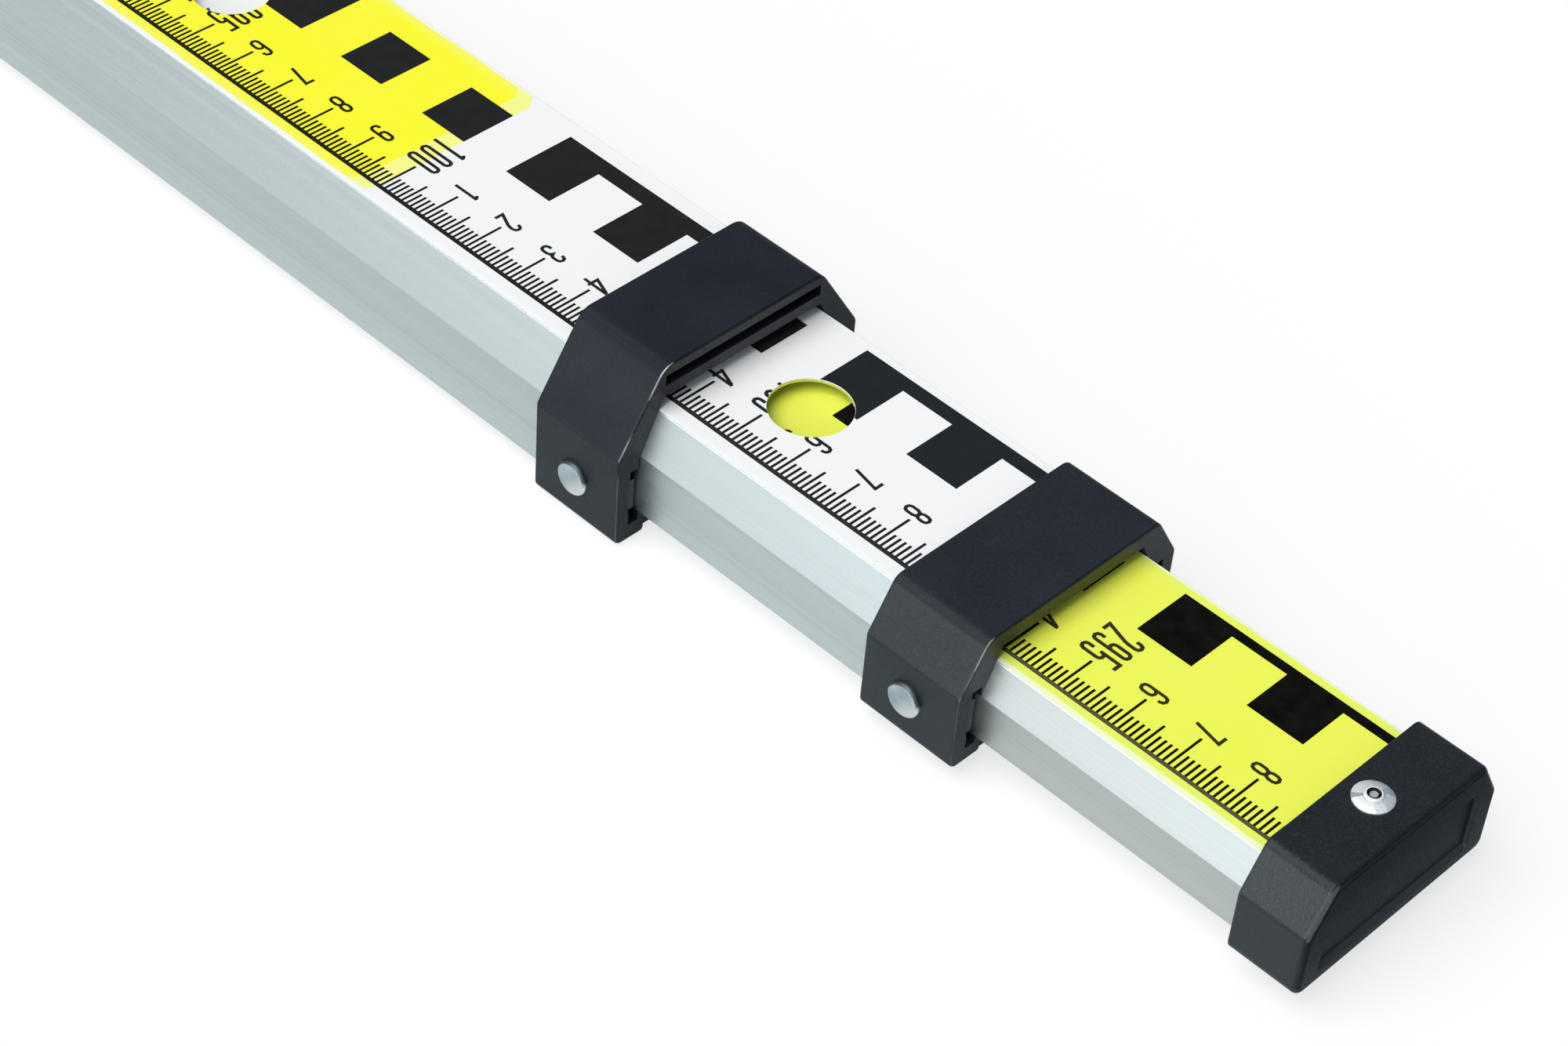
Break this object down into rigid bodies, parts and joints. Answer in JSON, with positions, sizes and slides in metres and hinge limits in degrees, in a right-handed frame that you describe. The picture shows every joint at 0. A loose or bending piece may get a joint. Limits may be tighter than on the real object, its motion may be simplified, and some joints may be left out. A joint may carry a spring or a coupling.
{
  "type": "leveling rod",
  "caption": "Telescopic surveying staff with an E-pattern scale on nested aluminium sections, moulded collars, lock buttons and a top cap.",
  "frame": {"origin": "centre of the foot plate's outer face, on the rod's long axis; this face is the zero of the scale", "axes": "+X along the rod from the foot to the top cap, +Z out of the printed face, +Y to the side of the E-pattern blocks; the rod lies on its back"},
  "size_m": [1.1919, 0.0524, 0.0306],
  "materials": {
    "section_aluminium": "satin anodised extrusion with fine lengthwise lines",
    "scale_film": "printed film, yellow and white lengths with black graduations",
    "moulded_black": "fine-grained moulding",
    "slide_pad": "smooth low-friction plastic",
    "rivet_metal": "bright aluminium",
    "plate_steel": "brushed stainless plate",
    "screw_steel": "plated steel",
    "buffer_rubber": "matt rubber",
    "guide_plastic": "natural acetal",
    "button_plastic": "smooth moulded button",
    "spring_steel": "spring wire"
  },
  "bodies": {
    "section_1": {"outer_tube": "section_aluminium", "outer_scale": "scale_film", "collar_1": "moulded_black", "collar_1_pads": "slide_pad", "collar_1_rivets": "rivet_metal", "foot_shoe": "moulded_black", "foot_plate": "plate_steel", "foot_screws": "screw_steel", "foot_rivets": "rivet_metal", "outer_buffer": "buffer_rubber"},
    "section_2": {"middle_tube": "section_aluminium", "middle_scale": "scale_film", "collar_2": "moulded_black", "collar_2_pads": "slide_pad", "collar_2_rivets": "rivet_metal", "middle_guide": "guide_plastic", "middle_guide_rivets": "rivet_metal", "middle_buffer": "buffer_rubber", "lock_spring_2": "spring_steel"},
    "section_3": {"inner_tube": "section_aluminium", "inner_scale": "scale_film", "top_cap": "moulded_black", "cap_rivet": "rivet_metal", "cap_rivet_pin": "screw_steel", "inner_guide": "guide_plastic", "inner_guide_rivets": "rivet_metal", "lock_spring_3": "spring_steel"},
    "button_2": {"lock_button_2": "button_plastic"},
    "button_3": {"lock_button_3": "button_plastic"}
  },
  "joints": [
    {"name": "section_2_slide", "type": "slide", "parent": "section_1", "child": "section_2", "axis": [1, 0, 0], "range_m": [0, 0.8742]},
    {"name": "section_3_slide", "type": "slide", "parent": "section_2", "child": "section_3", "axis": [1, 0, 0], "range_m": [0, 0.9352]},
    {"name": "button_2_press", "type": "slide", "parent": "section_2", "child": "button_2", "axis": [0, 0, 1], "range_m": [-0.002, 0], "stiffness_N_per_m": 400, "springref_m": 0.006, "deforming": ["lock_spring_2"]},
    {"name": "button_3_press", "type": "slide", "parent": "section_3", "child": "button_3", "axis": [0, 0, 1], "range_m": [-0.002, 0], "stiffness_N_per_m": 400, "springref_m": 0.006, "deforming": ["lock_spring_3"]}
  ]
}
